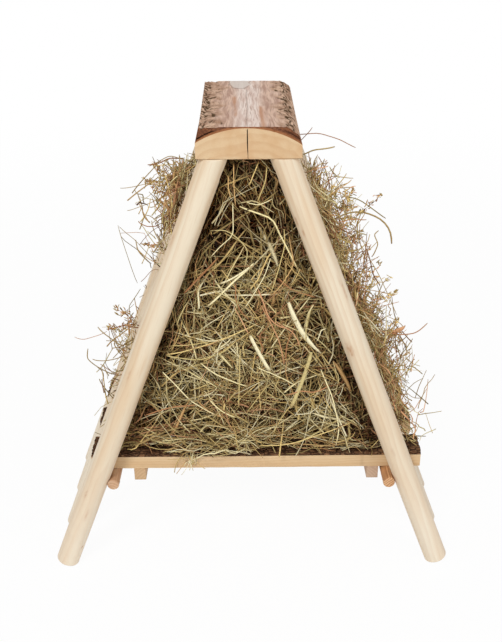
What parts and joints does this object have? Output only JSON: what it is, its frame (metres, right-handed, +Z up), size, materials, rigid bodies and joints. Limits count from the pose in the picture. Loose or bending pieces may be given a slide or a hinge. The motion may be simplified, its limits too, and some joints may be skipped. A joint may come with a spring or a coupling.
{
  "type": "hay rack",
  "caption": "Free-standing A-frame hay rack for rabbits: round rods under a bark-topped ridge slab, with a loose plank tray on thin rails, filled with hay.",
  "frame": {"origin": "on the floor, under the middle of the rack's footprint", "axes": "+Z up, +Y along the ridge from the front end to the rear end, +X to the right seen from the front"},
  "size_m": [0.3508, 0.173, 0.3956],
  "materials": {
    "peeled_rod": "satin",
    "sawn_spruce": "matte",
    "bark": "matte",
    "zinc_plated_steel": "satin",
    "hay": "matte"
  },
  "bodies": {
    "frame": {"ridge_wood": "sawn_spruce", "ridge_bark": "bark", "leg_left_1": "peeled_rod", "leg_left_2": "peeled_rod", "leg_left_3": "peeled_rod", "leg_left_4": "peeled_rod", "leg_right_1": "peeled_rod", "leg_right_2": "peeled_rod", "leg_right_3": "peeled_rod", "leg_right_4": "peeled_rod", "leg_screws_left": "zinc_plated_steel", "leg_screws_right": "zinc_plated_steel", "rail_left": "peeled_rod", "rail_right": "peeled_rod", "rail_nails_left": "zinc_plated_steel", "rail_nails_right": "zinc_plated_steel"},
    "tray": {"plank_front": "sawn_spruce", "plank_middle": "sawn_spruce", "plank_rear": "sawn_spruce", "plank_bark_front": "bark", "plank_bark_middle": "bark", "plank_bark_rear": "bark", "batten_left": "sawn_spruce", "batten_right": "sawn_spruce", "tray_nails": "zinc_plated_steel", "hay": "hay"}
  },
  "joints": [
    {"name": "tray_lift", "type": "slide", "parent": "frame", "child": "tray", "axis": [0, 0, 1], "range_m": [0, 0.025], "deforming": ["hay"]}
  ]
}
